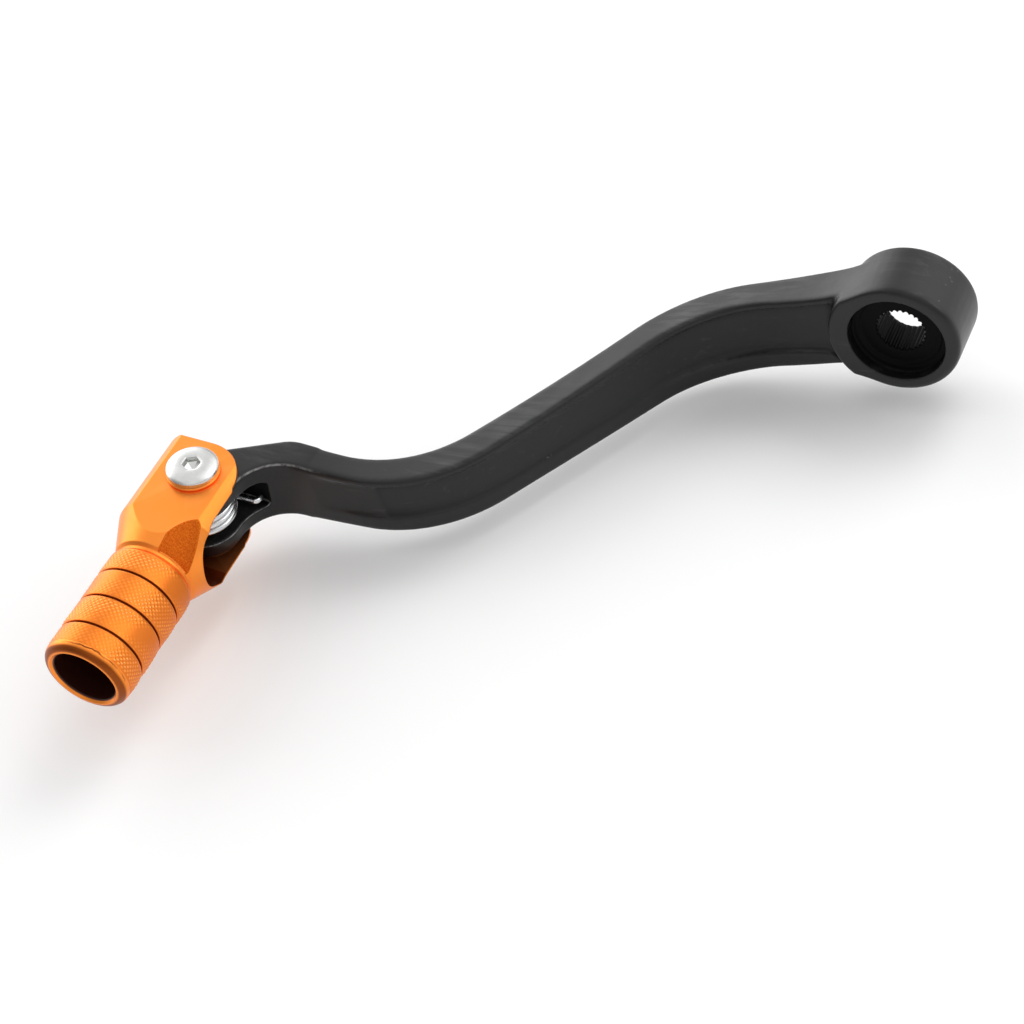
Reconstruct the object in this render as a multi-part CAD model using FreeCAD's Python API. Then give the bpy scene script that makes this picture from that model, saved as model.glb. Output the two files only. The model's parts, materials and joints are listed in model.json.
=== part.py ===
import FreeCAD, Part
import math
import os

from FreeCAD import Vector, Rotation, Placement

# Gear shift lever with a folding, sprung toe tip.  Millimetres.
# Row frame: origin on the gear shaft axis, in the plane of the boss's outboard face.
# +Y runs inboard along the gear shaft, +Z is up, and the arm runs from the boss towards -X.

# ---- gear shaft boss -------------------------------------------------------------
BOSS_R_FACE = 15.5        # outside radius behind the rounded outboard edge
BOSS_R_BACK = 15.6        # outside radius near the inboard face, with forging draft
BOSS_LENGTH = 17.2
FRONT_EDGE_R = 1.6        # rounding of the outboard rim
BACK_EDGE_R = 1.0
PAD_EDGE_R = 0.7
PAD_R = 17.0              # raised round pad that carries the outboard face into the arm
COUNTERBORE_R = 11.9
COUNTERBORE_DEPTH = 3.4
RELIEF_R = 10.3           # shallow second step in the counterbore floor
RELIEF_DEPTH = 4.1
SPLINE_TEETH = 26
SPLINE_ROOT_R = 6.25      # bottom of the grooves in the bore
SPLINE_TIP_R = 5.65       # crests of the teeth in the bore
BACK_CHAMFER = 4.2        # lead-in at the inboard end of the bore

# ---- arm, seen from above: outboard and inboard edges -------------------------------
OUTBOARD_EDGE = [(0.0, 2.6), (-50.6, 5.1), (-98.8, -66.9), (-142.0, -66.9)]
OUTBOARD_BEND_R = [32.2, 38.0]
INBOARD_EDGE = [(0.0, 13.7), (-20.0, 15.4), (-57.6, 11.7), (-105.9, -59.4), (-142.0, -58.6)]
INBOARD_BEND_R = [60.0, 37.2, 33.4]

# ---- arm, seen from the side: upper and lower edges ----------------------------------
TOP_EDGE = [(-133.2, 4.8), (-105.0, 0.8), (-78.0, 0.4), (-45.0, 4.3), (-30.0, 6.6), (-20.0, 8.6)]
TOP_BLEND = [(-12.0, 11.4), (-6.5, 14.0), (0.0, 15.2)]      # rises into the boss
BOTTOM_EDGE = [
    (-137.3, -13.5), (-105.0, -16.2), (-72.0, -17.3), (-45.0, -16.6), (-30.0, -14.3), (-20.0, -12.3),
]
BOTTOM_BLEND = [(-14.0, -11.5), (-9.0, -12.7), (-4.5, -14.3), (0.0, -14.9)]
EDGE_R = 1.0              # rounding along the arm's edges

# ---- recessed web in the outboard face of the arm -------------------------------------
WEB_DEPTH = 1.3
UPPER_RIM = 2.2
LOWER_RIM = 5.0
WEB_FADE = [(-114.0, 0.0), (-132.0, -1.4)]   # the web floor runs out to the surface at the toe end
# Where the lower rim of the web runs out at the boss.
WEB_END_SWEEP = [(-22.0, -8.2), (-18.6, -8.4), (-16.4, -10.2), (-15.0, -11.8)]

# ---- toe joint: position and lean of the hinge bolt ----------------------------------
HINGE_X = -155.65
HINGE_Y = -79.8
HINGE_Z = 0.5
HINGE_LEAN = 13.0         # degrees, bolt leans towards the boss

# ---- arm eye, in the hinge frame (Z along the bolt, Y parallel to the gear shaft) -----
EYE_R = 9.6
EYE_HALF_HEIGHT = 9.4
EYE_BORE_R = 4.55
NECK_ARC_R = 12.0         # hollow of the neck on its outboard side
NECK_REACH = 24.0         # how far the neck block reaches towards the arm
BACK_LINE_ANGLE = 31.5    # slope of the neck's inboard side
SPRING_BAY_TOP = 4.6
SPRING_BAY_BOTTOM = -4.9
SPRING_BAY_R = 9.9
EYE_EDGE_R = 0.9
POCKET_END_X = 14.2       # pocket in the neck that holds the spring leg
POCKET_END_Y = 11.2
POCKET_CORNER_R = 3.0

# ---- toe tip ---------------------------------------------------------------------
TIP_YAW = 1.3             # degrees, the tip stands slightly outwards of the gear shaft direction
TIP_SHIFT = (-0.2, -1.2)  # tip axis against the bolt
GRIP_R = 11.0
GRIP_END_Y = -56.9
GROOVE_Y = [-48.6, -40.1, -31.7]
GROOVE_WIDTH = 0.8
GROOVE_DEPTH = 0.7
NECK_Y = -23.4
NECK_R = 10.1
GRIP_BORE_R = 8.0
GRIP_BORE_DEPTH = 27.0
END_LIP_R = 2.3
BODY_R = 15.1
SHOULDER_TOP_Y = -13.2
SHOULDER_FOOT_Y = -22.4
SHOULDER_FOOT_R = 11.0
FLAT_HALF_HEIGHT = 12.2
FLAT_EDGE_R = 0.4
SLOT_HALF_HEIGHT = 10.0
SLOT_END_Y = -20.4
FRONT_WALL_X = -9.65      # inner face of the wall that stops the tip in its working position
EAR_END_Y = 11.8
EAR_ROUND_R = 10.8

SCOOP_R = 7.3
SCOOP_X = 10.2
SCOOP_TOP_Y = -12.4       # where the relief runs out into the upper flat
SCOOP_SLOPE = 38.0        # degrees down towards the grip

# ---- hinge hardware ----------------------------------------------------------------
BOLT_R = 3.0
EAR_HOLE_R = 3.15
HEAD_R = 6.6
HEAD_RIM = 0.9
HEAD_HEIGHT = 2.5
SOCKET_AF = 4.0
SOCKET_DEPTH = 1.7
HEAD_WASHER_R = 6.75
HEAD_WASHER_T = 0.8
SLEEVE_R = 4.5
SLEEVE_BORE_R = 3.05
THRUST_R = 8.4
THRUST_T = 0.5
NUT_AF = 10.0
NUT_HEIGHT = 3.2
THREAD_END = 1.0          # bolt end standing out of the nut

# ---- torsion spring ------------------------------------------------------------------
WIRE_R = 0.9
COIL_R = 7.9
COIL_TURNS = 3            # whole turns, before the part turn that lines the two legs up
COIL_PITCH = 2.0
COIL_START_Z = -2.9
ARM_LEG_END = (10.5, 8.3) # in the arm's neck pocket
ARM_LEG_HOOK = 1.9        # bent end of the arm leg
TIP_LEG_END = (-8.6, -13.0)


def v2(points):
    return [Vector(x, y, 0) for x, y in points]


def rounded_path(points, radii):
    """Edges of a polyline whose inner corners are rounded to the given radii."""
    pts = v2(points)
    edges = []
    last = pts[0]
    for i in range(1, len(pts) - 1):
        corner = pts[i]
        to_a = (pts[i - 1] - corner).normalize()
        to_b = (pts[i + 1] - corner).normalize()
        angle = to_a.getAngle(to_b)
        r = radii[i - 1]
        if r <= 0 or angle > math.pi - 1e-4:
            edges.append(Part.makeLine(last, corner))
            last = corner
            continue
        back = r / math.tan(angle / 2)
        a = corner + to_a * back
        b = corner + to_b * back
        bisector = (to_a + to_b).normalize()
        middle = corner + bisector * (r / math.sin(angle / 2) - r)
        if (a - last).Length > 1e-6:
            edges.append(Part.makeLine(last, a))
        edges.append(Part.Arc(a, middle, b).toShape())
        last = b
    edges.append(Part.makeLine(last, pts[-1]))
    return edges


def closed_face(edges):
    return Part.Face(Part.Wire(Part.__sortEdges__(edges)))


def prism(edges, z0, z1):
    face = closed_face(edges)
    face.translate(Vector(0, 0, z0))
    return face.extrude(Vector(0, 0, z1 - z0))


def side_prism(edges, y0, y1):
    """Extrude an outline drawn as (x, z) across the width of the arm."""
    face = closed_face(edges)
    face.rotate(Vector(0, 0, 0), Vector(1, 0, 0), 90)
    face.translate(Vector(0, y0, 0))
    return face.extrude(Vector(0, y1 - y0, 0))


def cylinder(r, z0, z1, x=0.0, y=0.0):
    return Part.makeCylinder(r, z1 - z0, Vector(x, y, z0), Vector(0, 0, 1))


def y_cylinder(r, y0, y1):
    return Part.makeCylinder(r, y1 - y0, Vector(0, y0, 0), Vector(0, 1, 0))


def y_cone(r0, r1, y0, y1):
    return Part.makeCone(r0, r1, y1 - y0, Vector(0, y0, 0), Vector(0, 1, 0))


def curve(points):
    spline = Part.BSplineCurve()
    spline.interpolate(v2(points))
    return spline.toShape()


def hexagon(af, z0, z1):
    r = af / math.sqrt(3)
    corners = [(r * math.cos(math.radians(60 * k)), r * math.sin(math.radians(60 * k))) for k in range(6)]
    return prism(rounded_path(corners + [corners[0]], [0] * 5), z0, z1)


HINGE_FRAME = Placement(
    Vector(HINGE_X, HINGE_Y, HINGE_Z),
    Rotation(Vector(0, 1, 0), HINGE_LEAN),
)


def to_hinge(shape):
    """Place a piece built about the bolt axis into the row frame."""
    placed = shape.copy()
    placed.Placement = HINGE_FRAME.multiply(placed.Placement)
    return placed


def side_outline(upper, lower):
    """Closed side view of the arm between an upper and a lower edge curve."""
    edges = [curve(upper), curve(lower)]
    edges.append(Part.makeLine(*v2([upper[0], lower[0]])))
    edges.append(Part.makeLine(*v2([upper[-1], lower[-1]])))
    return edges


def plan_outline(front, front_radii, back, back_radii):
    """Closed plan view of the arm between its outboard and inboard edges."""
    edges = rounded_path(front, front_radii) + rounded_path(back, back_radii)
    edges.append(Part.makeLine(*v2([front[0], back[0]])))
    edges.append(Part.makeLine(*v2([front[-1], back[-1]])))
    return edges


def arm_side():
    return side_outline(TOP_EDGE + TOP_BLEND, BOTTOM_EDGE + BOTTOM_BLEND)


def arm_bar():
    plan = plan_outline(OUTBOARD_EDGE, OUTBOARD_BEND_R, INBOARD_EDGE, INBOARD_BEND_R)
    bar = prism(plan, -40, 40).common(side_prism(arm_side(), -120, 60))
    return bar.makeFillet(EDGE_R, [e for e in bar.Edges if is_long_edge(e)])


def is_long_edge(edge):
    """The arm's lengthwise edges, without its end faces and the upright seams between its sides."""
    box = edge.BoundBox
    return box.XLength > 1.0 and box.ZLength < 2 * box.XLength


def web_pocket():
    """The shallow recess along the outboard face, following both edges of the arm."""
    floor = [(x, y + WEB_DEPTH) for x, y in OUTBOARD_EDGE[:-1]]
    floor += [(x, OUTBOARD_EDGE[-1][1] + WEB_DEPTH + dy) for x, dy in WEB_FADE]
    outside = [(x, y - 20) for x, y in floor]
    radii = [OUTBOARD_BEND_R[0] - WEB_DEPTH, OUTBOARD_BEND_R[1] + WEB_DEPTH, 60.0]
    strip = prism(plan_outline(floor, radii, outside, [5, 5, 0]), -40, 40)

    top = [(x, z - UPPER_RIM) for x, z in TOP_EDGE] + [(WEB_END_SWEEP[-1][0], TOP_EDGE[-1][1] - 1)]
    bottom = [(x, z + LOWER_RIM) for x, z in BOTTOM_EDGE[:-1]] + WEB_END_SWEEP
    return strip.common(side_prism(side_outline(top, bottom), -120, 60))


def neck():
    """Eye plates and the short neck that leads into the arm, in the hinge frame."""
    y_face = OUTBOARD_EDGE[-1][1] - HINGE_Y
    y_back = INBOARD_EDGE[-1][1] - HINGE_Y
    a = math.radians(BACK_LINE_ANGLE)
    heel_y = (EYE_R - EYE_R * math.sin(a)) / math.cos(a)
    back_x = (y_back - EYE_R / math.cos(a)) / math.tan(a)
    outline = [
        (EYE_R, 0.0),
        (EYE_R, y_face),
        (NECK_REACH, y_face),
        (NECK_REACH, y_back),
        (back_x, y_back),
        (-EYE_R, heel_y),
        (-EYE_R, 0.0),
    ]
    edges = rounded_path(outline, [NECK_ARC_R, 0, 0, 8.0, 2.0])
    edges.append(Part.Arc(Vector(-EYE_R, 0, 0), Vector(0, -EYE_R, 0), Vector(EYE_R, 0, 0)).toShape())
    block = prism(edges, -EYE_HALF_HEIGHT, EYE_HALF_HEIGHT)
    block = block.makeFillet(EYE_EDGE_R, level_edges(block, EYE_HALF_HEIGHT))

    bay = cylinder(SPRING_BAY_R, SPRING_BAY_BOTTOM, SPRING_BAY_TOP)
    far_end = [(POCKET_END_X, -12), (POCKET_END_X, POCKET_END_Y)]
    plan = [(0, -12), *far_end, (4, POCKET_END_Y), (0, 6), (0, -12)]
    pocket = prism(rounded_path(plan, [0, 3.0, 0, 0]), -20, 20)
    top = SPRING_BAY_TOP - 0.4
    window = [(-5, SPRING_BAY_BOTTOM), (POCKET_END_X, SPRING_BAY_BOTTOM), (POCKET_END_X, top), (-5, top)]
    window = rounded_path(window + [window[0]], [POCKET_CORNER_R, POCKET_CORNER_R, 0])
    pocket = pocket.common(side_prism(window, -20, 20))
    return block.cut(bay).cut(pocket).cut(cylinder(EYE_BORE_R, -20, 20))


def level_edges(shape, height):
    """Edges lying in the two planes at plus and minus a height."""
    found = []
    for edge in shape.Edges:
        box = edge.BoundBox
        if box.ZLength < 1e-3 and abs(abs(box.ZMin) - height) < 1e-3:
            found.append(edge)
    return found


def spline_bore():
    """Straight-sided 60 degree teeth all round the shaft bore."""
    points = []
    for k in range(SPLINE_TEETH):
        step = 2 * math.pi / SPLINE_TEETH
        for r, offset in (
            (SPLINE_TIP_R, -0.42), (SPLINE_ROOT_R, -0.12), (SPLINE_ROOT_R, 0.12), (SPLINE_TIP_R, 0.42),
        ):
            a = step * (k + offset)
            points.append(Vector(r * math.cos(a), 0, r * math.sin(a)))
    points.append(points[0])
    face = Part.Face(Part.makePolygon(points))
    face.translate(Vector(0, -1, 0))
    return face.extrude(Vector(0, BOSS_LENGTH + 4, 0))


def boss():
    profile = [
        (0.0, 0.0),
        (BOSS_R_FACE - 0.1, 0.0),
        (BOSS_R_BACK, BOSS_LENGTH),
        (0.0, BOSS_LENGTH),
    ]
    face = closed_face(rounded_path(profile + [profile[0]], [FRONT_EDGE_R, BACK_EDGE_R, 0]))
    return face.revolve(Vector(0, 0, 0), Vector(0, 1, 0), 360)


def pad():
    """The outboard face carried into the arm, ending in a low round step."""
    body = y_cylinder(PAD_R, 0, 6).common(side_prism(arm_side(), -1, 20))
    rim = []
    for edge in body.Edges:
        box = edge.BoundBox
        if abs(box.YMax) < 1e-3 and box.XMin < -0.01:
            rim.append(edge)
    return body.makeFillet(PAD_EDGE_R, rim)


def lever_arm():
    body = arm_bar().cut(web_pocket()).fuse([boss(), pad(), to_hinge(neck())]).removeSplitter()
    body = body.cut(y_cylinder(COUNTERBORE_R, -1, COUNTERBORE_DEPTH))
    body = body.cut(y_cylinder(RELIEF_R, -1, RELIEF_DEPTH))
    body = body.cut(spline_bore())
    cone_r = SPLINE_TIP_R + 1.2 * BACK_CHAMFER
    lead_in = y_cone(SPLINE_TIP_R, cone_r, BOSS_LENGTH - BACK_CHAMFER, BOSS_LENGTH + 0.001)
    return body.cut(lead_in)


def grip_profile():
    """Half outline of the tip about the gear-shaft direction, from the open end to the ears."""
    end = GRIP_END_Y
    pts = [(GRIP_BORE_R + 0.6, end), (GRIP_R, end)]
    radii = [END_LIP_R]
    floor_r = GRIP_R - GROOVE_DEPTH
    for y in GROOVE_Y:
        for r, dy in ((GRIP_R, -0.5), (floor_r, -0.25), (floor_r, 0.25), (GRIP_R, 0.5)):
            pts.append((r, y + dy * GROOVE_WIDTH))
            radii.append(0)
    pts += [(GRIP_R, NECK_Y - 1.6), (NECK_R, NECK_Y - 0.5), (NECK_R, NECK_Y + 0.3)]
    pts += [(SHOULDER_FOOT_R, SHOULDER_FOOT_Y), (BODY_R, SHOULDER_TOP_Y), (BODY_R, EAR_END_Y + 4)]
    radii += [0.8, 0.3, 0.3, 0.3, 1.5]
    return pts, radii


def tip_plan():
    """Outline of the ears and body seen along the bolt."""
    far = 40
    centre_y = EAR_END_Y - EAR_ROUND_R
    front = rounded_path([(0, -70), (-far, -70), (-far, EAR_END_Y), (0, EAR_END_Y)], [0, 0])
    half = EAR_ROUND_R * math.sqrt(0.5)
    top = Vector(0, EAR_END_Y, 0)
    middle = Vector(half, centre_y + half, 0)
    round_end = Part.Arc(top, middle, Vector(EAR_ROUND_R, centre_y, 0)).toShape()
    shoulder_y = centre_y - 12
    rear = [(EAR_ROUND_R, centre_y), (BODY_R + 1, shoulder_y), (far, shoulder_y), (far, -70), (0, -70)]
    return front + [round_end] + rounded_path(rear, [9.0, 0, 0])


def toe_tip():
    pts, radii = grip_profile()
    top = EAR_END_Y + 4
    mouth_r = GRIP_BORE_R + 0.6
    edges = rounded_path(pts, radii)
    edges.append(Part.makeLine(Vector(BODY_R, top, 0), Vector(0, top, 0)))
    edges.append(Part.makeLine(Vector(0, top, 0), Vector(0, GRIP_END_Y, 0)))
    edges.append(Part.makeLine(Vector(0, GRIP_END_Y, 0), Vector(mouth_r, GRIP_END_Y, 0)))
    body = closed_face(edges).revolve(Vector(0, 0, 0), Vector(0, 1, 0), 360)

    slab = Part.makeBox(80, 90, 2 * FLAT_HALF_HEIGHT, Vector(-40, -70, -FLAT_HALF_HEIGHT))
    body = body.common(slab).common(prism(tip_plan(), -40, 40))
    body = body.makeFillet(FLAT_EDGE_R, level_edges(body, FLAT_HALF_HEIGHT))

    bore_end = GRIP_END_Y + GRIP_BORE_DEPTH
    bore = y_cylinder(GRIP_BORE_R, GRIP_END_Y - 1, bore_end)
    drill_tip = y_cone(GRIP_BORE_R, 0.5, bore_end, bore_end + 3.5)
    mouth = y_cone(GRIP_BORE_R + 0.9, GRIP_BORE_R, GRIP_END_Y - 0.1, GRIP_END_Y + 0.8)
    body = body.cut(scoop_cutter()).cut(bore).cut(drill_tip).cut(mouth)
    body.rotate(Vector(0, 0, 0), Vector(0, 0, 1), TIP_YAW)
    body.translate(Vector(TIP_SHIFT[0], TIP_SHIFT[1], 0))
    return body.cut(slot_cutter()).cut(cylinder(EAR_HOLE_R, -40, 40))


def slot_cutter():
    """Fork slot: round-ended towards the grip, walled in front, open behind and towards the arm."""
    h = SLOT_HALF_HEIGHT
    centre = SLOT_END_Y + h
    edges = [Part.Arc(Vector(centre, h, 0), Vector(SLOT_END_Y, 0, 0), Vector(centre, -h, 0)).toShape()]
    edges += rounded_path([(centre, -h), (40, -h), (40, h), (centre, h)], [0, 0])
    solid = closed_face(edges).extrude(Vector(0, 0, 60))
    solid.rotate(Vector(0, 0, 0), Vector(1, 1, 1), 120)
    solid.translate(Vector(FRONT_WALL_X, 0, 0))
    return solid


def scoop_cutter():
    """Rounded relief milled down the upper rear of the shoulder, running out at the neck."""
    scoop = Part.makeCylinder(SCOOP_R, 60, Vector(0, 0, -30), Vector(0, 0, 1))
    scoop.rotate(Vector(0, 0, 0), Vector(1, 0, 0), 90 + SCOOP_SLOPE)
    lift = SCOOP_R / math.cos(math.radians(SCOOP_SLOPE))
    scoop.translate(Vector(SCOOP_X, SCOOP_TOP_Y, FLAT_HALF_HEIGHT + lift))
    return scoop.common(Part.makeBox(80, 40, 80, Vector(-40, NECK_Y + 0.6, -40)))


def pivot_bolt():
    seat = FLAT_HALF_HEIGHT + HEAD_WASHER_T
    top = seat + HEAD_HEIGHT
    profile = [(0, seat), (HEAD_R - 0.5, seat), (HEAD_R, seat + 0.35), (HEAD_R, seat + HEAD_RIM)]
    edges = rounded_path(profile, [0, 0])
    dome_mid = Vector(HEAD_R * 0.72, seat + HEAD_RIM + (HEAD_HEIGHT - HEAD_RIM) * 0.72, 0)
    dome_foot = Vector(HEAD_R, seat + HEAD_RIM, 0)
    edges.append(Part.Arc(dome_foot, dome_mid, Vector(HEAD_R * 0.42, top, 0)).toShape())
    edges.append(Part.makeLine(Vector(HEAD_R * 0.42, top, 0), Vector(0, top, 0)))
    edges.append(Part.makeLine(Vector(0, top, 0), Vector(0, seat, 0)))
    face = closed_face(edges)
    face.rotate(Vector(0, 0, 0), Vector(1, 0, 0), 90)
    head = face.revolve(Vector(0, 0, 0), Vector(0, 0, 1), 360)
    head = head.cut(hexagon(SOCKET_AF, top - SOCKET_DEPTH, top + 1))
    drill = Part.makeCone(0.2, SOCKET_AF / 2, 1.1, Vector(0, 0, top - SOCKET_DEPTH - 1.1), Vector(0, 0, 1))
    head = head.cut(drill)
    end = -FLAT_HALF_HEIGHT - NUT_HEIGHT - THREAD_END
    shank = cylinder(BOLT_R, end + 0.6, seat + 0.2)
    point = Part.makeCone(BOLT_R - 0.6, BOLT_R, 0.6, Vector(0, 0, end), Vector(0, 0, 1))
    return head.fuse([shank, point]).removeSplitter()


def ring(outer, inner, z0, z1, break_edge=0.0):
    body = cylinder(outer, z0, z1).cut(cylinder(inner, z0 - 1, z1 + 1))
    if break_edge:
        rims = [e for e in body.Edges if abs(e.Length - 2 * math.pi * outer) < 1e-3]
        body = body.makeChamfer(break_edge, rims)
    return body


def head_washer():
    base = FLAT_HALF_HEIGHT
    return ring(HEAD_WASHER_R, EAR_HOLE_R, base, base + HEAD_WASHER_T, 0.25)


def pivot_sleeve():
    return ring(SLEEVE_R, SLEEVE_BORE_R, -SLOT_HALF_HEIGHT, SLOT_HALF_HEIGHT, 0.3)


def thrust_washers():
    gap = (SLOT_HALF_HEIGHT - EYE_HALF_HEIGHT - THRUST_T) / 2
    upper = ring(THRUST_R, SLEEVE_R + 0.1, EYE_HALF_HEIGHT + gap, EYE_HALF_HEIGHT + gap + THRUST_T)
    lower = ring(THRUST_R, SLEEVE_R + 0.1, -EYE_HALF_HEIGHT - gap - THRUST_T, -EYE_HALF_HEIGHT - gap)
    return Part.makeCompound([upper, lower])


def lock_nut():
    top = -FLAT_HALF_HEIGHT
    body = hexagon(NUT_AF, top - NUT_HEIGHT, top)
    tip_r = NUT_AF / 2 - 0.25
    cone = Part.makeCone(
        tip_r, tip_r + 2 * NUT_HEIGHT, NUT_HEIGHT, Vector(0, 0, top - NUT_HEIGHT), Vector(0, 0, 1),
    )
    return body.common(cone).cut(cylinder(BOLT_R + 0.02, top - 10, top + 1))


def leave_angle(target, side):
    """Where a straight leg to target leaves the coil circle.

    Side +1 leaves clockwise and side -1 counter-clockwise.
    """
    reach = math.hypot(target[0], target[1])
    return math.atan2(target[1], target[0]) + side * math.acos(COIL_R / reach)


def wire(points):
    """Straight round wire from point to point with ball corners."""
    run = [Part.makeSphere(WIRE_R, points[0])]
    for a, b in zip(points, points[1:]):
        run.append(Part.makeCylinder(WIRE_R, (b - a).Length, a, b - a))
        run.append(Part.makeSphere(WIRE_R, b))
    return run


def torsion_spring():
    """Coil with one leg in the arm's neck pocket and one leg inside the tip's slot."""
    first = leave_angle(ARM_LEG_END, 1)
    last = leave_angle(TIP_LEG_END, -1) % (2 * math.pi)
    turns = COIL_TURNS + (last - first) / (2 * math.pi)
    end_z = COIL_START_Z + turns * COIL_PITCH
    helix = Part.makeHelix(COIL_PITCH, turns * COIL_PITCH, COIL_R)
    profile = Part.Wire(Part.makeCircle(WIRE_R, Vector(COIL_R, 0, 0), Vector(0, 1, 0)))
    coil = Part.Wire(helix.Edges).makePipeShell([profile], True, True)
    coil.rotate(Vector(0, 0, 0), Vector(0, 0, 1), math.degrees(first))
    coil.translate(Vector(0, 0, COIL_START_Z))

    start = Vector(COIL_R * math.cos(first), COIL_R * math.sin(first), COIL_START_Z)
    bend = Vector(ARM_LEG_END[0], ARM_LEG_END[1], COIL_START_Z)
    hook = bend + Vector(0.3, ARM_LEG_HOOK, 0)
    end = Vector(COIL_R * math.cos(last), COIL_R * math.sin(last), end_z)
    tip = Vector(TIP_LEG_END[0], TIP_LEG_END[1], end_z)
    return coil.fuse(wire([start, bend, hook]) + wire([end, tip])).removeSplitter()


PIECES = {
    "lever_arm": lever_arm,
    "toe_tip": lambda: to_hinge(toe_tip()),
    "pivot_bolt": lambda: to_hinge(pivot_bolt()),
    "head_washer": lambda: to_hinge(head_washer()),
    "pivot_sleeve": lambda: to_hinge(pivot_sleeve()),
    "thrust_washers": lambda: to_hinge(thrust_washers()),
    "lock_nut": lambda: to_hinge(lock_nut()),
    "torsion_spring": lambda: to_hinge(torsion_spring()),
}

os.makedirs("parts", exist_ok=True)
for name, make in PIECES.items():
    shape = make()
    print(name, shape.isValid(), len(shape.Solids), round(shape.Volume, 1), shape.BoundBox)
    shape.exportStep("parts/" + name + ".step")
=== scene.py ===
"""Looks of the gear shift lever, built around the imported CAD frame.

The row frame is in metres, with the gear shaft along Y through the origin.  Sizes of the lever's
own parts are in millimetres, and times MM where a shader needs metres.  The studio is in metres.
"""
import json
import math

import bmesh
import bpy
import numpy as np
from mathutils import Euler, Matrix, Vector


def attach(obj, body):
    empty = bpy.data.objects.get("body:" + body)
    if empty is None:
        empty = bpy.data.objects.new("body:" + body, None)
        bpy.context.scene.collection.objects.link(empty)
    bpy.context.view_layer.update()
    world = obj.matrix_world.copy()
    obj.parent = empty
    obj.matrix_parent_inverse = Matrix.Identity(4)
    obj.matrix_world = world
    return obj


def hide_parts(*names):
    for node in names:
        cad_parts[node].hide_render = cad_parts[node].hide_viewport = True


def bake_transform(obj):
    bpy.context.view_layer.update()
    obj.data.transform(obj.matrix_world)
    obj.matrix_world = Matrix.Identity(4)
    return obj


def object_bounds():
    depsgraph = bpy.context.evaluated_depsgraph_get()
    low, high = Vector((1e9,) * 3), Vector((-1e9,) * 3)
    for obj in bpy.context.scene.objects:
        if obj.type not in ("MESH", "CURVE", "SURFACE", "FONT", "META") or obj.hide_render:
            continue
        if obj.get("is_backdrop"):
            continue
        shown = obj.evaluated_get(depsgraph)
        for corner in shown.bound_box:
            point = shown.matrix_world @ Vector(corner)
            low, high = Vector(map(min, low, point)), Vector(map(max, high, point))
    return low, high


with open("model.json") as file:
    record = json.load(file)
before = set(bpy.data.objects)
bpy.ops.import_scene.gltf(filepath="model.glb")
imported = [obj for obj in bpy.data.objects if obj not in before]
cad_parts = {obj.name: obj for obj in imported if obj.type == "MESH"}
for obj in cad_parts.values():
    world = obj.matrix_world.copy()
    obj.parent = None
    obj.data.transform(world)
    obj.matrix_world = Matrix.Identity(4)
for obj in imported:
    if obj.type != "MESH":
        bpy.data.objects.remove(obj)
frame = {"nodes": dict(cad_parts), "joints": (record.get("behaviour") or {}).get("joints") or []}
CAD_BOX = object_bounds()
MM = 0.001

# ---- hinge frame: Z along the bolt, Y parallel to the gear shaft ---------------------------------
JOINT = frame["joints"][0]
HINGE = np.array(JOINT["pos_m"])
BOLT_AXIS = np.array(JOINT["axis"]) / np.linalg.norm(JOINT["axis"])
LEAN = math.atan2(BOLT_AXIS[0], BOLT_AXIS[2])
HINGE_X = np.array([math.cos(LEAN), 0.0, -math.sin(LEAN)])
HINGE_Y = np.array([0.0, 1.0, 0.0])

# ---- tip frame: Y along the turned axis of the toe tip, laid in the hinge frame ------------------
TIP_YAW = math.radians(1.3)
TIP_SHIFT = (-0.2, -1.2)
GRIP_R = 11.0
GRIP_END = -56.9
GROOVES = (-48.6, -40.1, -31.7)
NECK = -23.4

# The round relief cut across the tip's shoulder: its radius, its direction and a point on its axis.
SCOOP_R = 7.3
SCOOP_SLOPE = math.radians(38.0)
SCOOP_WAY = (0.0, math.cos(SCOOP_SLOPE), math.sin(SCOOP_SLOPE))
SCOOP_START = (10.2, -12.4, 12.2 + SCOOP_R / math.cos(SCOOP_SLOPE))


def hinge_point(p):
    """Hinge frame in millimetres to the row frame in metres."""
    p = np.asarray(p, float)
    rows = np.stack([HINGE_X, HINGE_Y, BOLT_AXIS])
    return HINGE + (p @ rows) * MM


def tip_point(p):
    """Tip frame in millimetres to the row frame in metres."""
    p = np.asarray(p, float)
    c = math.cos(TIP_YAW)
    s = math.sin(TIP_YAW)
    x = p[..., 0] * c - p[..., 1] * s + TIP_SHIFT[0]
    y = p[..., 0] * s + p[..., 1] * c + TIP_SHIFT[1]
    return hinge_point(np.stack([x, y, p[..., 2]], axis=-1))


def to_tuple(v):
    return tuple(float(x) for x in v)


# ---- node helpers --------------------------------------------------------------------------------
RAY_SAMPLES = 6
BUMP_STRENGTH = 0.5


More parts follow.
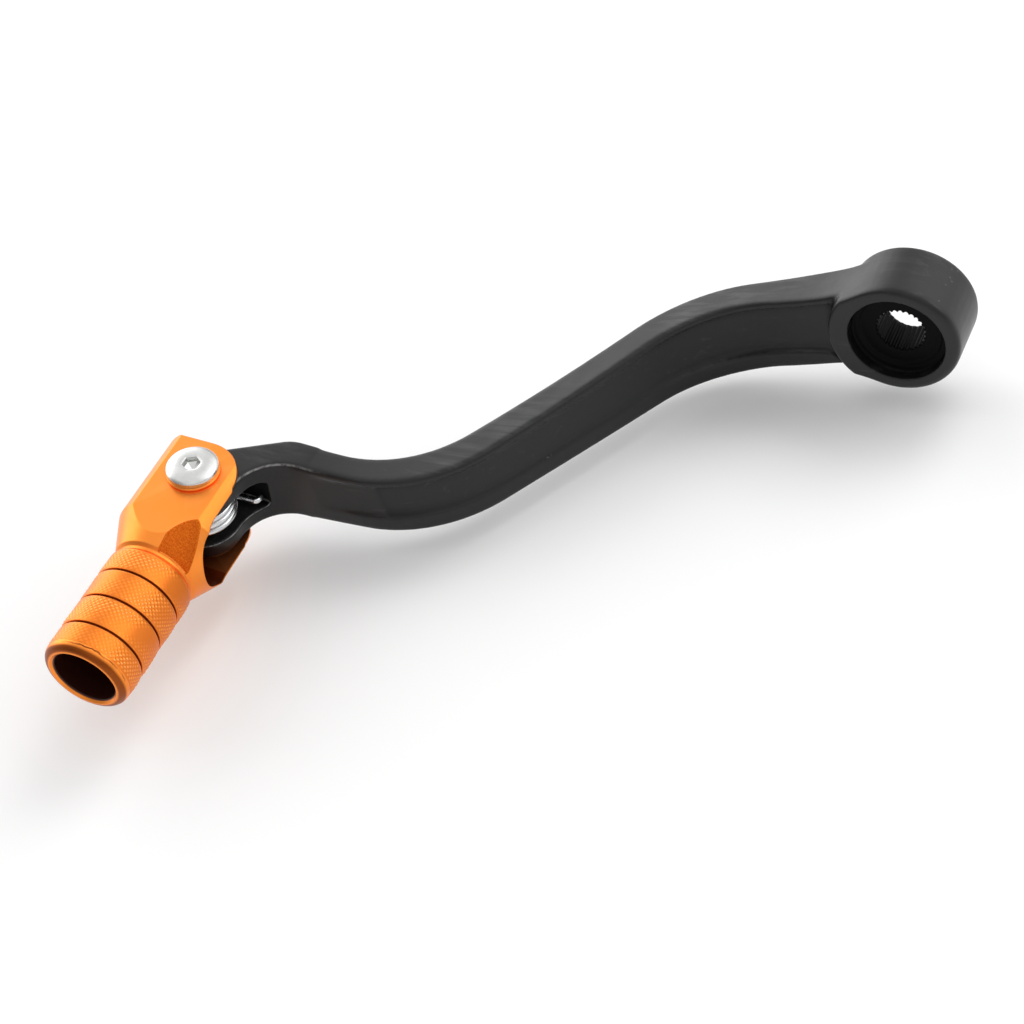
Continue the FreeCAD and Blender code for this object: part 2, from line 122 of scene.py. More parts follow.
class Nodes:
    """A node tree with short ways to add and join nodes."""

    def __init__(self, tree):
        self.tree = tree

    def node(self, kind, *values, **settings):
        n = self.tree.nodes.new(kind)
        for key, value in settings.items():
            setattr(n, key, value)
        for i, value in enumerate(values):
            self.put(n.inputs[i], value)
        return n

    def put(self, socket, value):
        """Link a socket, or set its value; None leaves it as it is."""
        if isinstance(value, bpy.types.NodeSocket):
            self.tree.links.new(value, socket)
        elif value is not None:
            if socket.type == "RGBA" and len(value) == 3:
                value = (*value, 1.0)
            socket.default_value = value

    def fill(self, n, **inputs):
        """Set inputs by name, with _ for a space, and give back the first output."""
        for name, value in inputs.items():
            self.put(n.inputs[name.replace("_", " ")], value)
        return n.outputs[0]

    def math(self, op, a, b=0.0):
        return self.node("ShaderNodeMath", a, b, operation=op).outputs[0]

    def times(self, a, b):
        return self.math("MULTIPLY", a, b)

    def off(self, value, centre):
        """Distance of a value from a centre."""
        return self.math("ABSOLUTE", self.math("SUBTRACT", value, centre))

    def vec(self, op, a, b=None):
        n = self.node("ShaderNodeVectorMath", a, b, operation=op)
        return n.outputs["Value"] if op in ("LENGTH", "DOT_PRODUCT") else n.outputs[0]

    def ramp(self, fac, low, high, to_low=0.0, to_high=1.0, shape="LINEAR"):
        n = self.node("ShaderNodeMapRange", interpolation_type=shape)
        return self.fill(n, Value=fac, From_Min=low, From_Max=high, To_Min=to_low, To_Max=to_high)


class Shader(Nodes):
    """A material whose patterns are laid out in the object's own coordinates."""

    def __init__(self, name):
        self.material = bpy.data.materials.new(name)
        self.material.use_nodes = True
        super().__init__(self.material.node_tree)
        self.bsdf = self.tree.nodes["Principled BSDF"]
        self.coord = self.node("ShaderNodeTexCoord").outputs["Object"]

    def set(self, name, value):
        self.put(self.bsdf.inputs[name], value)

    def noise(self, scale, detail=3.0, rough=0.55, at=None):
        n = self.node("ShaderNodeTexNoise")
        return self.fill(n, Vector=at or self.coord, Scale=scale, Detail=detail, Roughness=rough)

    def streaks(self, stretch, detail, rough):
        """Noise drawn out along the axis whose stretch is the smallest."""
        return self.noise(1.0, detail, rough, at=self.vec("MULTIPLY", self.coord, stretch))

    def rings(self, value, scale, detail, rough):
        """Noise that changes with one value only, as turning marks do."""
        along = self.node("ShaderNodeCombineXYZ", self.times(value, scale)).outputs[0]
        return self.noise(1.0, detail, rough, at=along)

    def mix(self, fac, a, b):
        """Mix colours, whose sockets on this node are inputs 6 and 7 and output 2."""
        n = self.node("ShaderNodeMix", data_type="RGBA")
        for index, value in ((0, fac), (6, a), (7, b)):
            self.put(n.inputs[index], value)
        return n.outputs[2]

    def tinted(self, colour, tints):
        """A colour with tints of (mask, share, tint) laid over it in order."""
        for mask, share, tint in tints:
            colour = self.mix(self.times(mask, share), colour, tint)
        return colour

    def blended(self, *parts):
        """The sum of (value, share) pairs."""
        total, *rest = [self.times(value, share) for value, share in parts]
        for part in rest:
            total = self.math("ADD", total, part)
        return total

    def bump(self, height, distance, normal=None):
        n = self.node("ShaderNodeBump")
        return self.fill(n, Height=height, Distance=distance, Strength=BUMP_STRENGTH, Normal=normal)

    def soft_edges(self, radius):
        return self.node("ShaderNodeBevel", radius, samples=RAY_SAMPLES).outputs[0]

    def openness(self, reach):
        """1 in the open, less where the same piece closes in within the reach."""
        n = self.node("ShaderNodeAmbientOcclusion", samples=RAY_SAMPLES, only_local=True)
        self.put(n.inputs["Distance"], reach)
        return n.outputs["AO"]

    def split(self, vector):
        return self.node("ShaderNodeSeparateXYZ", vector).outputs

    def geometry(self, name):
        return self.node("ShaderNodeNewGeometry").outputs[name]

    def away_from(self, point):
        return self.vec("SUBTRACT", self.coord, to_tuple(point))


# ---- colours, linear RGB -------------------------------------------------------------------------
COAT_LOW = (0.005, 0.005, 0.0053)
COAT_HIGH = (0.0115, 0.0115, 0.0117)
COAT_RUBBED_SHEEN = (0.085, 0.085, 0.085)
COAT_SCUFFED = (0.06, 0.06, 0.06)
COAT_WORN_HIGHLIGHT = (0.32, 0.32, 0.31)
COAT_SPECK = (0.5, 0.5, 0.48)
COAT_SHADED = (0.002, 0.002, 0.002)
COAT_CREASE_SHADE = (0.0008, 0.0008, 0.0008)
COAT_RIM_HIGHLIGHT = (0.42, 0.41, 0.4)

ANODISED_LOW = (0.94, 0.258, 0.032)
ANODISED_HIGH = (0.99, 0.305, 0.05)
RELIEF_LOW = (0.5, 0.058, 0.0005)
RELIEF_HIGH = (0.84, 0.21, 0.012)
SLOT_SHADE = (0.17, 0.011, 0.0005)
GROOVE_SHADE = (0.16, 0.024, 0.002)
LIP_SHADE = (0.09, 0.014, 0.003)
BORE_SHADE = (0.03, 0.005, 0.002)
EDGE_SHINE = (1.0, 0.52, 0.17)
VALLEY_SHADE = (0.66, 0.14, 0.01)
CREST_SHINE = (1.0, 0.5, 0.17)
BOUNCE_TINT = (0.5, 0.34, 0.26)

STEEL_COLOUR = (0.70, 0.705, 0.69)
WIRE_COLOUR = (0.74, 0.75, 0.76)
STEEL_ROUGH = 0.2

PAPER_LOW = (0.905, 0.905, 0.905)
PAPER_HIGH = (0.915, 0.915, 0.915)


# ---- black coat on the forging -------------------------------------------------------------------
def coat_specks(s):
    """Dust: a dot in the middle of a few Voronoi cells."""
    cell = s.node("ShaderNodeTexVoronoi")
    s.fill(cell, Vector=s.coord, Scale=95.0)
    rare = s.node("ShaderNodeSeparateColor", cell.outputs["Color"]).outputs[0]
    return s.times(s.ramp(cell.outputs["Distance"], 0.016, 0.008), s.ramp(rare, 0.975, 0.98))


def coat_rubbed_sheen(s, drawn):
    """Streaky rubbed wear with a painted sheen, on faces that look upwards."""
    upward = s.split(s.geometry("Normal"))[2]
    rubbed_sheen = s.times(s.ramp(drawn, 0.46, 0.7), s.ramp(upward, 0.55, 0.9))
    return s.times(rubbed_sheen, s.ramp(s.noise(22.0, 3.0), 0.42, 0.62))


def bore_masks(s):
    """The counterbore below the boss's face, and the flanks of the spline's teeth."""
    x, depth, z = s.split(s.coord)
    shaft_r = s.math("SQRT", s.math("ADD", s.times(x, x), s.times(z, z)))
    in_counterbore = s.ramp(shaft_r, 12.1 * MM, 11.7 * MM)
    counterbore = s.times(in_counterbore, s.ramp(depth, 0.2 * MM, 0.6 * MM))
    past_crests = s.ramp(shaft_r, 5.75 * MM, 6.05 * MM)
    teeth = s.times(past_crests, s.ramp(shaft_r, 6.7 * MM, 6.6 * MM))
    return counterbore, teeth


def eye_rim_highlight(s):
    """A pale, patchy painted highlight along the bevel of the eye, near the hinge bolt, on faces
    turned forward.
    """
    facing = s.geometry("Normal")
    upright = s.vec("DOT_PRODUCT", facing, to_tuple(BOLT_AXIS))
    rim_highlight = s.ramp(s.off(upright, 0.62), 0.3, 0.12)
    reach = s.vec("LENGTH", s.away_from(HINGE))
    rim_highlight = s.times(rim_highlight, s.ramp(reach, 34 * MM, 20 * MM))
    rim_highlight = s.times(rim_highlight, s.ramp(s.vec("DOT_PRODUCT", facing, (0.3, -0.95, 0.0)), 0.1, 0.4))
    return s.times(rim_highlight, s.ramp(s.noise(420.0, 4.0, 0.7), 0.36, 0.56))


def black_coat():
    """Satin powder coat with a little wear, a painted sheen on its upper faces, painted highlights
    on its edges, and painted shade in its recesses and creases.
    """
    s = Shader("black_coat")
    broad = s.noise(38.0, 4.0, 0.6)
    drawn = s.streaks((30.0, 420.0, 420.0), 4.0, 0.65)
    rubbed_sheen = coat_rubbed_sheen(s, drawn)
    scuff = s.times(s.ramp(drawn, 0.6, 0.72), s.ramp(broad, 0.45, 0.62))
    sharp = s.ramp(s.geometry("Pointiness"), 0.56, 0.64)
    # Patchy wear with a painted highlight along sharp edges.
    worn = s.times(sharp, s.ramp(s.noise(260.0, 4.0, 0.7), 0.5, 0.66))
    counterbore, teeth = bore_masks(s)
    # Painted shade where the piece closes in on itself.
    crease_shade = s.ramp(s.openness(2.2 * MM), 0.92, 0.6)
    colour = s.tinted(s.mix(broad, COAT_LOW, COAT_HIGH), (
        # Rubbed wear with a painted sheen on the upper faces.
        (rubbed_sheen, 0.55, COAT_RUBBED_SHEEN),
        (scuff, 0.5, COAT_SCUFFED),
        # Edge wear with a painted highlight on sharp edges.
        (worn, 0.7, COAT_WORN_HIGHLIGHT),
        (coat_specks(s), 1.0, COAT_SPECK),
        # Painted shade in the counterbore and in creases.
        (counterbore, 0.9, COAT_SHADED),
        (crease_shade, 0.9, COAT_CREASE_SHADE),
        # Painted highlight along the eye's bevel.
        (eye_rim_highlight(s), 0.55, COAT_RIM_HIGHLIGHT),
    ))
    s.set("Base Color", colour)

    rough = s.math("ADD", s.ramp(broad, 0.3, 0.7, 0.3, 0.46), s.times(scuff, 0.12))
    s.set("Roughness", s.math("SUBTRACT", rough, s.times(rubbed_sheen, 0.14)))
    recess = s.math("MAXIMUM", s.math("MAXIMUM", counterbore, teeth), crease_shade)
    s.set("Specular IOR Level", s.ramp(recess, 0.0, 1.0, 0.3, 0.05))
    s.set("Coat Weight", s.ramp(recess, 0.0, 1.0, 0.12, 0.0))
    s.set("Coat Roughness", 0.25)
    peel = s.noise(850.0, 3.0, 0.5)
    grit = s.noise(3200.0, 2.0, 0.6)
    s.set("Normal", s.bump(s.blended((peel, 0.75), (grit, 0.25)), 0.06 * MM))
    return s.material


# ---- orange anodising on the toe tip -------------------------------------------------------------
def along_tip(s):
    """Place along the tip's axis and distance from it, in millimetres, as shader values."""
    origin = tip_point((0, 0, 0))
    axis = to_tuple(tip_point((0, 1000, 0)) - origin)
    from_axis = s.away_from(origin)
    y = s.times(s.vec("DOT_PRODUCT", from_axis, axis), 1 / MM)
    r = s.times(s.vec("LENGTH", s.vec("CROSS_PRODUCT", from_axis, axis)), 1 / MM)
    return y, r


def scoop_mask(s, y):
    """The wall of the relief on the shoulder."""
    start = tip_point(SCOOP_START)
    way = to_tuple(tip_point(np.array(SCOOP_START) + 1000 * np.array(SCOOP_WAY)) - start)
    across = s.vec("CROSS_PRODUCT", s.away_from(start), way)
    away = s.times(s.vec("LENGTH", across), 1 / MM)
    on_wall = s.ramp(s.off(away, SCOOP_R), 0.22, 0.12)
    past_neck = s.ramp(y, NECK + 0.3, NECK + 0.5)
    return s.times(on_wall, s.times(past_neck, s.ramp(y, -8.0, -9.0)))


def slot_mask(s, y, r, scoop):
    """The inside of the slot that takes the eye, kept off the outer skin and the relief."""
    from_hinge = s.away_from(HINGE)
    lift = s.vec("DOT_PRODUCT", from_hinge, to_tuple(BOLT_AXIS))
    sideways = s.vec("DOT_PRODUCT", from_hinge, to_tuple(HINGE_X))
    slot = s.ramp(s.math("ABSOLUTE", lift), 10.12 * MM, 10.04 * MM)
    slot = s.times(slot, s.ramp(y, -19.6, -19.3))
    slot = s.times(slot, s.ramp(sideways, -9.9 * MM, -9.6 * MM))
    skin_r = s.ramp(y, -22.4, -13.2, 11.0, 15.1)
    slot = s.times(slot, s.ramp(s.math("SUBTRACT", skin_r, r), 0.1, 0.4))
    return s.times(slot, s.math("SUBTRACT", 1.0, scoop))


def groove_mask(s, y, r):
    """The floors of the grooves between the knurled bands."""
    in_grip = s.times(s.ramp(y, -26.0, -27.0), s.ramp(r, 9.0, 9.5))
    return s.times(s.ramp(r, GRIP_R - 0.12, GRIP_R - 0.4), in_grip)


def lip_mask(s, y):
    """A broken, wavy line of painted shade where the knurl runs out at the open end."""
    lip_y = s.ramp(s.noise(220.0, 3.0), 0.3, 0.7, GRIP_END + 1.6, GRIP_END + 2.3)
    line = s.ramp(s.off(y, lip_y), 0.26, 0.1)
    return s.times(line, s.ramp(s.noise(90.0, 3.0), 0.42, 0.56))


def orange_anodised(name, knurled=False):
    """Satin orange anodising, with painted shade in its slot, grooves and bore and painted
    highlights on its edges; on the knurl, painted shade in the valleys and a painted highlight on
    the crests.
    """
    s = Shader(name)
    y, r = along_tip(s)
    cloud = s.noise(130.0, 4.0, 0.6)
    fine = s.noise(1500.0, 3.0, 0.6)
    speckle = s.noise(3000.0, 4.0, 0.75)
    scoop = scoop_mask(s, y)
    # A deeper, speckled orange on the relief's wall.
    relief_tone = s.mix(s.ramp(speckle, 0.38, 0.66), RELIEF_LOW, RELIEF_HIGH)
    bore = s.times(s.ramp(r, 8.35, 8.2), s.ramp(y, -28.0, -29.0))
    tints = [
        (scoop, 0.92, relief_tone),
        # Painted shade inside the slot, on the groove floors, along the knurl's run-out line and in
        # the bore.
        (slot_mask(s, y, r, scoop), 0.93, SLOT_SHADE),
        (groove_mask(s, y, r), 0.85, GROOVE_SHADE),
        (lip_mask(s, y), 0.9, LIP_SHADE),
        (bore, 1.0, BORE_SHADE),
        # Painted highlight on sharp edges.
        (s.ramp(s.geometry("Pointiness"), 0.55, 0.68), 0.35, EDGE_SHINE),
    ]
    if knurled:
        tints += [
            # Painted shade in the knurl's valleys and a painted highlight on its crests.
            (s.ramp(r, GRIP_R + 0.16, GRIP_R + 0.03), 0.6, VALLEY_SHADE),
            (s.ramp(r, GRIP_R + 0.12, GRIP_R + 0.24), 0.75, CREST_SHINE),
        ]
    colour = s.tinted(s.mix(cloud, ANODISED_LOW, ANODISED_HIGH), tints)

    # Light that bounces off the tip onto the floor and the arm is less orange.
    bounce = s.node("ShaderNodeLightPath").outputs["Is Diffuse Ray"]
    s.set("Base Color", s.tinted(colour, ((bounce, 0.5, BOUNCE_TINT),)))
    s.set("Metallic", s.ramp(bore, 0.0, 1.0, 0.92, 0.3))
    s.set("Roughness", s.math("ADD", s.ramp(fine, 0.3, 0.7, 0.3, 0.42), s.times(scoop, 0.16)))
    turned = s.rings(y, 6.0, 2.0, 0.5)
    height = s.blended((fine, 0.6), (turned, 0.4), (s.times(speckle, scoop), 4.0))
    s.set("Normal", s.bump(height, 0.03 * MM, s.soft_edges(0.22 * MM)))
    return s.material


# ---- bright metal --------------------------------------------------------------------------------
def bright_metal(name, colour, turned=True):
    """Plated steel with a slightly uneven shine, and fine marks in its surface if it is turned."""
    s = Shader(name)
    from_bolt = s.vec("LENGTH", s.vec("CROSS_PRODUCT", s.away_from(HINGE), to_tuple(BOLT_AXIS)))
    rings = s.rings(from_bolt, 9000.0, 3.0, 0.6)
    cloud = s.noise(420.0, 4.0, 0.6)
    scratch = s.streaks((300.0, 5200.0, 900.0), 3.0, 0.7)
    dark = tuple(0.88 * c for c in colour)
    s.set("Base Color", s.mix(s.ramp(cloud, 0.35, 0.7), colour, dark))
    s.set("Metallic", 1.0)
    rough = s.ramp(cloud, 0.3, 0.7, STEEL_ROUGH, STEEL_ROUGH + 0.08)
    s.set("Roughness", s.math("ADD", rough, s.ramp(scratch, 0.6, 0.75, 0.0, 0.12)))
    marks = 0.3 if turned else 0.0
    height = s.blended((rings, marks), (scratch, marks))
    s.set("Normal", s.bump(height, 0.012 * MM, s.soft_edges(0.12 * MM)))
    return s.material


# ---- mesh helpers --------------------------------------------------------------------------------
def place(name, mesh):
    obj = bpy.data.objects.new(name, mesh)
    bpy.context.scene.collection.objects.link(obj)
    return obj


def make_mesh(name, verts, faces, sharp):
    """A smooth-shaded object, creased where faces meet at more than sharp degrees."""
    mesh = bpy.data.meshes.new(name)
    mesh.from_pydata([tuple(v) for v in verts], [], faces)
    bm = bmesh.new()
    bm.from_mesh(mesh)
    bmesh.ops.recalc_face_normals(bm, faces=bm.faces)
    bm.to_mesh(mesh)
    bm.free()
    mesh.polygons.foreach_set("use_smooth", [True] * len(mesh.polygons))
    mesh.set_sharp_from_angle(angle=math.radians(sharp))
    return place(name, mesh)


def stack(name, rings, looped=False, sharp=35.0):
    """A skin over rings of equal point count: capped at both ends, or looped to the first ring."""
    rings = np.asarray(rings)
    count, around = rings.shape[:2]
    verts = rings.reshape(-1, 3)
    faces = []
    for k in range(count if looped else count - 1):
        a = k * around
        b = ((k + 1) % count) * around
        for i in range(around):
            j = (i + 1) % around
            faces.append((a + i, a + j, b + j, b + i))
    if not looped:
        faces.append(tuple(range(around)))
        faces.append(tuple(range((count - 1) * around, count * around)))
    return make_mesh(name, verts, faces, sharp)


def give(obj, material, body):
    """Dress a piece in one material and let it ride on a body."""
    obj.data.materials.clear()
    obj.data.materials.append(material)
    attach(obj, body)


def round_corners(points, reach, steps=6):
    """A polyline whose corners are eased by short curves."""
    points = [np.asarray(p, float) for p in points]
    path = [points[0]]
    for a, b, c in zip(points, points[1:], points[2:]):
        start = b + (a - b) / np.linalg.norm(a - b) * reach
        end = b + (c - b) / np.linalg.norm(c - b) * reach
        for t in (i / steps for i in range(steps + 1)):
            path.append((1 - t) ** 2 * start + 2 * t * (1 - t) * b + t * t * end)
    path.append(points[-1])
    return path


# ---- arm: the forging, with softened edges -------------------------------------------------------
VOXEL = 0.3
REMESH_SCALE = 100
SOFT_ROUNDS = 18


def soften(mesh, weight, rounds):
    """Pull every vertex towards its neighbours, more where weight is high."""
    n = len(mesh.vertices)
    co = np.empty(n * 3)
    mesh.vertices.foreach_get("co", co)
    co = co.reshape(-1, 3)
    ends = np.empty(len(mesh.edges) * 2, int)
    mesh.edges.foreach_get("vertices", ends)
    a, b = ends.reshape(-1, 2).T
    degree = np.bincount(a, minlength=n) + np.bincount(b, minlength=n)
    w = (0.5 * weight(co / MM))[:, None]
    for _ in range(rounds):
        sums = [np.bincount(a, co[b, k], n) + np.bincount(b, co[a, k], n) for k in range(3)]
        co = co + w * (np.stack(sums, axis=1) / degree[:, None] - co)
    mesh.vertices.foreach_set("co", co.ravel())
    mesh.update()


def ease(value, low, high):
    t = np.clip((value - low) / (high - low), 0, 1)
    return t * t * (3 - 2 * t)


def arm_weight(p):
    """None at the spline's teeth, a little inside the boss and at the eye, full elsewhere."""
    shaft_r = np.hypot(p[:, 0], p[:, 2])
    weight = 0.3 + 0.7 * ease(shaft_r, 13.0, 14.0)
    weight *= ease(shaft_r, 7.0, 8.2)
    return weight * (1 - 0.6 * ease(-p[:, 0], 136.0, 141.0))


def arm_forging():
    """The CAD arm as a fine even mesh, remeshed at a larger scale and eased like a forging."""
    mesh = frame["nodes"]["lever_arm"].data.copy()
    obj = place("arm_forging", mesh)
    bm = bmesh.new()
    bm.from_mesh(mesh)
    bmesh.ops.remove_doubles(bm, verts=bm.verts, dist=1e-6)
    bmesh.ops.scale(bm, vec=(REMESH_SCALE,) * 3, verts=bm.verts)
    bm.to_mesh(mesh)
    bm.free()
    remesh = obj.modifiers.new("skin", "REMESH")
    remesh.mode = "VOXEL"
    remesh.voxel_size = VOXEL * MM * REMESH_SCALE
    evaluated = obj.evaluated_get(bpy.context.evaluated_depsgraph_get())
    done = bpy.data.meshes.new_from_object(evaluated)
    obj.modifiers.clear()
    obj.data = done
    done.name = "arm_forging"
    done.transform(Matrix.Scale(1 / REMESH_SCALE, 4))
    soften(done, arm_weight, SOFT_ROUNDS)
    done.polygons.foreach_set("use_smooth", [True] * len(done.polygons))
    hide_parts("lever_arm")
    return obj


# ---- toe tip: knurled bands ----------------------------------------------------------------------
KNURL_COUNT = 54
KNURL_PITCH = 1.28
KNURL_HEIGHT = 0.27
KNURL_FADE = 0.7
KNURL_LIFT = 0.02
BAND_EDGE = 0.04
BAND_DEPTH = 0.4
BAND_START = GRIP_END + 2.4
BAND_STOP = NECK - 1.8
GROOVE_HALF = 0.45
WAVES = ((2, 0.35, 0.3), (3, 0.6, 1.9), (5, 0.25, 4.1), (7, 0.8, 2.2))


def band_noise(theta, y, seed):
    """Slow variation over a band, for patches where the knurl is rolled shallow."""
    total = 0.0
    for k, (around, along, phase) in enumerate(WAVES):
        total = total + np.sin(around * theta + along * y + phase * (seed + 1)) / (k + 1.5)
    return total


def knurl_band(name, low, high, seed):
    """A thin closed band let into the grip, with crossed ridges that fade out at both edges."""
    around = KNURL_COUNT * 8
    rows = max(12, int((high - low) * (7)))
    theta = np.linspace(0, 2 * math.pi, around, endpoint=False)
    heights = np.linspace(low, high, rows)
    radii = []
    for y in heights:
        turn = 2 * math.pi * y / KNURL_PITCH
        left = 0.5 + 0.5 * np.cos(KNURL_COUNT * theta + turn)
        right = 0.5 + 0.5 * np.cos(KNURL_COUNT * theta - turn)
        fade = max(0.0, min(1.0, (y - low) / KNURL_FADE, (high - y) / KNURL_FADE))
        depth = np.clip(0.66 + 0.62 * band_noise(theta, y, seed), 0.06, 1.0) * fade
        worn = 0.8 + 0.2 * np.sin(23.0 * theta + 5.1 * y + seed) * np.sin(17.0 * theta - 3.7 * y)
        ridge = KNURL_HEIGHT * depth * worn * np.power(left * right, 0.75)
        radii.append(GRIP_R + KNURL_LIFT + ridge)
    radii[0] = radii[-1] = np.full(around, GRIP_R - BAND_EDGE)
    radii += [np.full(around, GRIP_R - BAND_DEPTH)] * 2
    rings = [
        np.stack([r * np.cos(theta), np.full(around, y), r * np.sin(theta)], axis=1)
        for r, y in zip(radii, [*heights, high, low])
    ]
    return stack(name, tip_point(np.array(rings)), looped=True, sharp=50.0)


def knurl_bands():
    """One band between each pair of neighbours among the grip's end, its grooves and the neck."""
    lows = [BAND_START] + [groove + GROOVE_HALF for groove in GROOVES]
    highs = [groove - GROOVE_HALF for groove in GROOVES] + [BAND_STOP]
    for i, (low, high) in enumerate(zip(lows, highs)):
        yield knurl_band(f"knurl_band_{i + 1}", low, high, i)


# ---- hinge bolt: rings about the bolt's axis, from the socket's floor out and down ---------------
BOLT_SIDES = 144
BOLT_SEAT = 13.0
BOLT_TOP = 15.5
HEAD_R = 6.6
CROWN_R = 2.75
DOME_DROP = 1.45
DOME_STEPS = 14
SOCKET_AF = 4.0
SHANK_R = 3.0
SHANK_END = -16.4
THREAD_TOP = -11.0
THREAD_PITCH = 1.0
THREAD_DEPTH = 0.55
THREAD_STEPS = 8


def hex_radius(theta, flats):
    return flats / 2 / np.cos((theta + math.pi / 6) % (math.pi / 3) - math.pi / 6)


def hinge_bolt():
    theta = np.linspace(0, 2 * math.pi, BOLT_SIDES, endpoint=False)
    hexagon = hex_radius(theta, SOCKET_AF)
    profile = [
        (0.02, BOLT_TOP - 2.6),
        (hexagon * 0.96, BOLT_TOP - 1.75),
        (hexagon, BOLT_TOP - 1.65),
        (hexagon, BOLT_TOP - 0.3),
        (hexagon + 0.06, BOLT_TOP - 0.12),
        (hexagon * 0.5 + 1.45, BOLT_TOP - 0.02),
        (CROWN_R, BOLT_TOP),
    ]
    for k in range(1, DOME_STEPS + 1):
        angle = k / DOME_STEPS * math.pi / 2
        r = CROWN_R + (HEAD_R - CROWN_R) * math.sin(angle) ** 0.92
        profile.append((r, BOLT_TOP - DOME_DROP * (1 - math.cos(angle)) ** 1.1))
    profile += [
        (HEAD_R + 0.02, BOLT_SEAT + 0.75),
        (HEAD_R, BOLT_SEAT + 0.3),
        (HEAD_R - 0.12, BOLT_SEAT + 0.1),
        (HEAD_R - 0.4, BOLT_SEAT),
        (SHANK_R + 0.1, BOLT_SEAT),
        (SHANK_R, BOLT_SEAT - 0.1),
        (SHANK_R, THREAD_TOP),
    ]
    z = THREAD_TOP - 0.4
    while z > SHANK_END + 0.5:
        phase = (z / THREAD_PITCH + theta / (2 * math.pi)) % 1.0
        profile.append((SHANK_R - THREAD_DEPTH * np.abs(phase - 0.5), z))
        z -= THREAD_PITCH / THREAD_STEPS
    profile += [(SHANK_R - 0.5, SHANK_END + 0.3), (SHANK_R - 0.8, SHANK_END)]
    rings = [
        np.stack([r * np.cos(theta), r * np.sin(theta), np.full(len(theta), z)], axis=1)
        for r, z in profile
    ]
    obj = stack("hinge_bolt", hinge_point(np.array(rings)), sharp=28.0)
    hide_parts("pivot_bolt")
    return obj


# ---- return spring -------------------------------------------------------------------------------
WIRE_R = 0.9
WIRE_SIDES = 18
WIRE_END = ((0.0, 1.0), (0.12, 0.94), (0.2, 0.8))  # how far past the end, and share of the radius
COIL_R = 7.9
COIL_PITCH = 2.0
COIL_STEPS = 230
FULL_TURNS = 3
COIL_START_Z = -2.9
COIL_BEND = 0.9
ARM_LEG_END = (10.5, 8.3)
ARM_HOOK_END = (ARM_LEG_END[0] + 0.3, ARM_LEG_END[1] + 1.9)
TIP_LEG_END = (-8.6, -13.0)


def wire(name, path):
    """A round wire along a path in the hinge frame, with eased ends."""
    path = np.array(path)
    ways = np.gradient(path, axis=0)
    ways /= np.linalg.norm(ways, axis=1)[:, None]
    side = np.cross(ways[0], (0.0, 0.0, 1.0))
    side /= np.linalg.norm(side)
    angles = np.linspace(0, 2 * math.pi, WIRE_SIDES, endpoint=False)
    last = len(path) - 1
    rings = []
    for i, (p, way) in enumerate(zip(path, ways)):
        side = side - way * side.dot(way)
        side /= np.linalg.norm(side)
        up = np.cross(way, side)
        circle = np.outer(np.cos(angles), side) + np.outer(np.sin(angles), up)
        if i == 0:
            rings += [p - way * out + WIRE_R * share * circle for out, share in WIRE_END[::-1]]
        elif i == last:
            rings += [p + way * out + WIRE_R * share * circle for out, share in WIRE_END]
        else:
            rings.append(p + WIRE_R * circle)
    return stack(name, hinge_point(np.array(rings)))


def leave_angle(target, side):
    """Where a straight leg to the target leaves the coil."""
    return math.atan2(target[1], target[0]) + side * math.acos(COIL_R / math.hypot(*target))


def return_spring():
    """A coil about the sleeve, one leg hooked in the arm's pocket and one along the tip's slot."""
    first = leave_angle(ARM_LEG_END, 1)
    last = leave_angle(TIP_LEG_END, -1) % (2 * math.pi) + FULL_TURNS * 2 * math.pi
    coil = []
    for a in np.linspace(first, last, COIL_STEPS):
        z = COIL_START_Z + (a - first) / (2 * math.pi) * COIL_PITCH
        coil.append(np.array((COIL_R * math.cos(a), COIL_R * math.sin(a), z)))
    hook = (*ARM_HOOK_END, COIL_START_Z)
    bend = (*ARM_LEG_END, COIL_START_Z)
    leg = round_corners([hook, bend, coil[0]], COIL_BEND)
    obj = wire("return_spring", leg[:-1] + coil + [np.array((*TIP_LEG_END, coil[-1][2]))])
    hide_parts("torsion_spring")
    return obj


# ---- studio --------------------------------------------------------------------------------------
FLOOR_SIZE = 40.0
FLOOR_GAP = 6.2 * MM      # clear of the grip when it is folded
DIFFUSE_SHARE = 0.8       # share of the glow that diffuse rays see

# Glows of the backdrop: direction, cosines where each is full and where it ends, and strength.
GLOWS = (
    ((0.0, 0.0, 1.0), 0.6, -0.45, 0.93),
    ((-0.9, 0.35, 0.33), 0.96, 0.68, 1.7),
    ((0.58, 0.56, 0.5), 0.97, 0.65, 0.8),
    ((-0.45, -0.68, 0.5), 0.98, 0.8, -0.45),
)

# Lamps: name, place, target, size, power, and whether reflections show it.
LAMPS = (
    ("key", (0.26, 0.64, 0.90), (-0.08, -0.03, 0.0), 0.6, 3.0, False),
    ("kicker", (0.70, 0.15, 0.45), (-0.02, 0.0, 0.0), 0.30, 0.5, True),
)

CAMERA_PLACE = (0.1465129, -0.3501239, 0.3036634)
CAMERA_TURN = (47.75246, 15.17848, 24.54456)  # degrees about X, Y and Z
CAMERA_SENSOR = 36.0  # this and the lens are in millimetres
CAMERA_LENS = 70.3125
CAMERA_NEAR = 0.01


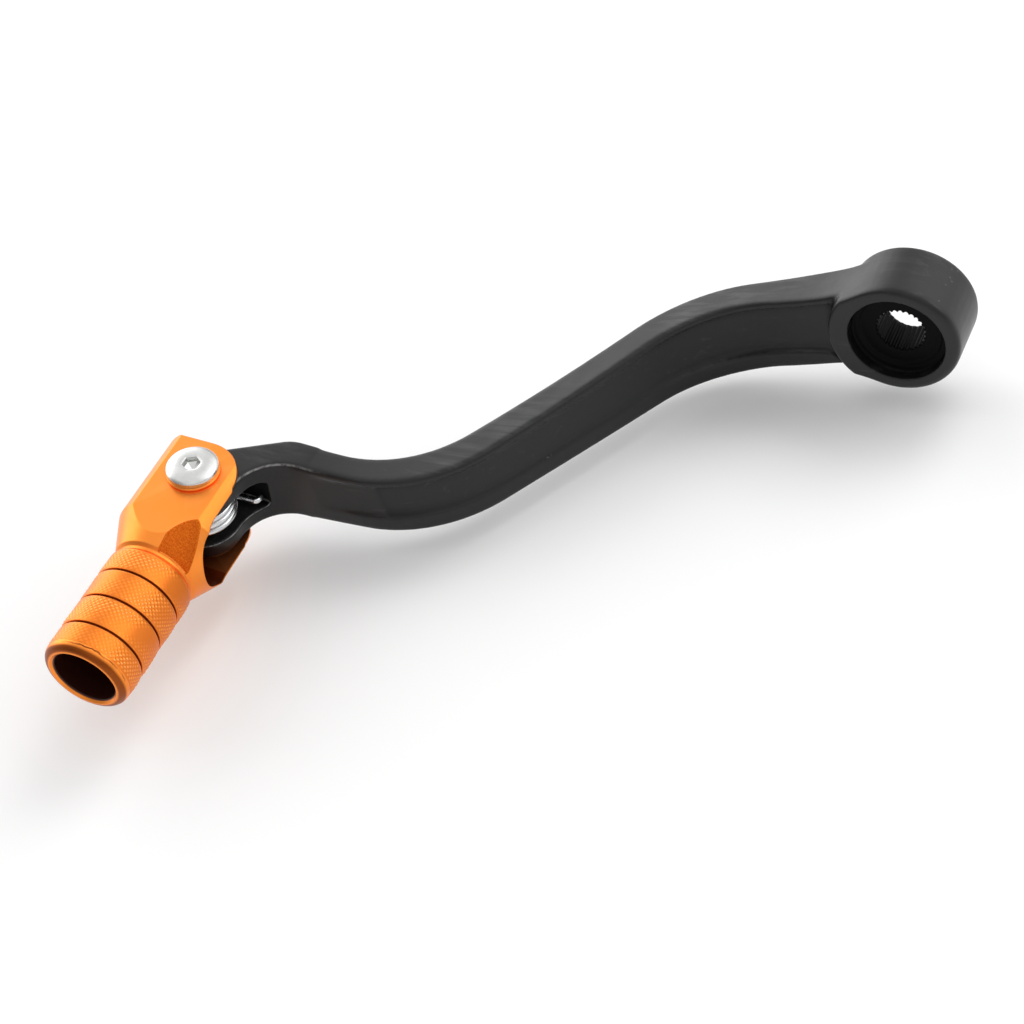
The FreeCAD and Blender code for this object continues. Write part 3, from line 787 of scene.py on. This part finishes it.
def paper_floor():
    height = CAD_BOX[0][2] - FLOOR_GAP
    bpy.ops.mesh.primitive_plane_add(size=FLOOR_SIZE, location=(0, 0, height))
    floor = bpy.context.object
    floor.name = "floor"
    s = Shader("floor_paper")
    s.set("Base Color", s.mix(s.noise(3.0, 2.0), PAPER_LOW, PAPER_HIGH))
    s.set("Roughness", 0.85)
    s.set("Specular IOR Level", 0.1)
    floor.data.materials.append(s.material)
    floor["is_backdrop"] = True


def backdrop():
    world = bpy.data.worlds.new("studio")
    world.use_nodes = True
    w = Nodes(world.node_tree)
    way = w.node("ShaderNodeTexCoord").outputs["Generated"]
    total = 0.0
    for direction, near, far, amount in GLOWS:
        toward = w.vec("DOT_PRODUCT", way, Vector(direction).normalized())
        glow = w.ramp(toward, far, near, 0.0, amount, shape="SMOOTHSTEP")
        total = w.math("ADD", total, glow)
    on_matt = w.node("ShaderNodeLightPath").outputs["Is Diffuse Ray"]
    share = w.ramp(on_matt, 0.0, 1.0, 1.0, DIFFUSE_SHARE)
    background = w.tree.nodes["Background"]
    w.fill(background, Color=(1.0, 1.0, 1.0), Strength=w.times(total, share))
    bpy.context.scene.world = world


def lamps():
    for name, spot, target, size, power, glossy in LAMPS:
        light = bpy.data.lights.new(name, "AREA")
        light.energy = power
        light.size = size
        obj = place(name, light)
        obj.location = spot
        aim = Vector(target) - Vector(spot)
        obj.rotation_euler = aim.to_track_quat("-Z", "Y").to_euler()
        obj.visible_glossy = glossy


def camera():
    data = bpy.data.cameras.new("photo_view")
    obj = place("photo_view", data)
    turn = Euler([math.radians(angle) for angle in CAMERA_TURN])
    obj.matrix_world = Matrix.LocRotScale(Vector(CAMERA_PLACE), turn, None)
    data.sensor_width = CAMERA_SENSOR
    data.lens = CAMERA_LENS
    data.clip_start = CAMERA_NEAR
    bpy.context.scene.camera = obj


# ---- the lever -----------------------------------------------------------------------------------
def lever():
    black = black_coat()
    orange = orange_anodised("orange_anodised")
    knurl = orange_anodised("orange_knurl", knurled=True)
    steel = bright_metal("bright_steel", STEEL_COLOUR)
    spring_wire = bright_metal("spring_wire", WIRE_COLOUR, turned=False)

    give(arm_forging(), black, "arm")
    give(hinge_bolt(), steel, "tip")
    for band in knurl_bands():
        give(band, knurl, "tip")

    spring = return_spring()
    spring.data.materials.append(spring_wire)
    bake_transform(spring)

    for node, material in (
        ("toe_tip", orange),
        ("head_washer", orange),
        ("pivot_sleeve", steel),
        ("thrust_washers", steel),
        ("lock_nut", steel),
    ):
        mesh = frame["nodes"][node].data
        mesh.materials.clear()
        mesh.materials.append(material)


lever()
paper_floor()
backdrop()
lamps()
camera()
bpy.context.scene.view_settings.view_transform = "Standard"

boxes = {"cad": CAD_BOX, "visual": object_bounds()}
{key: [list(map(float, corner)) for corner in box] for key, box in boxes.items()}
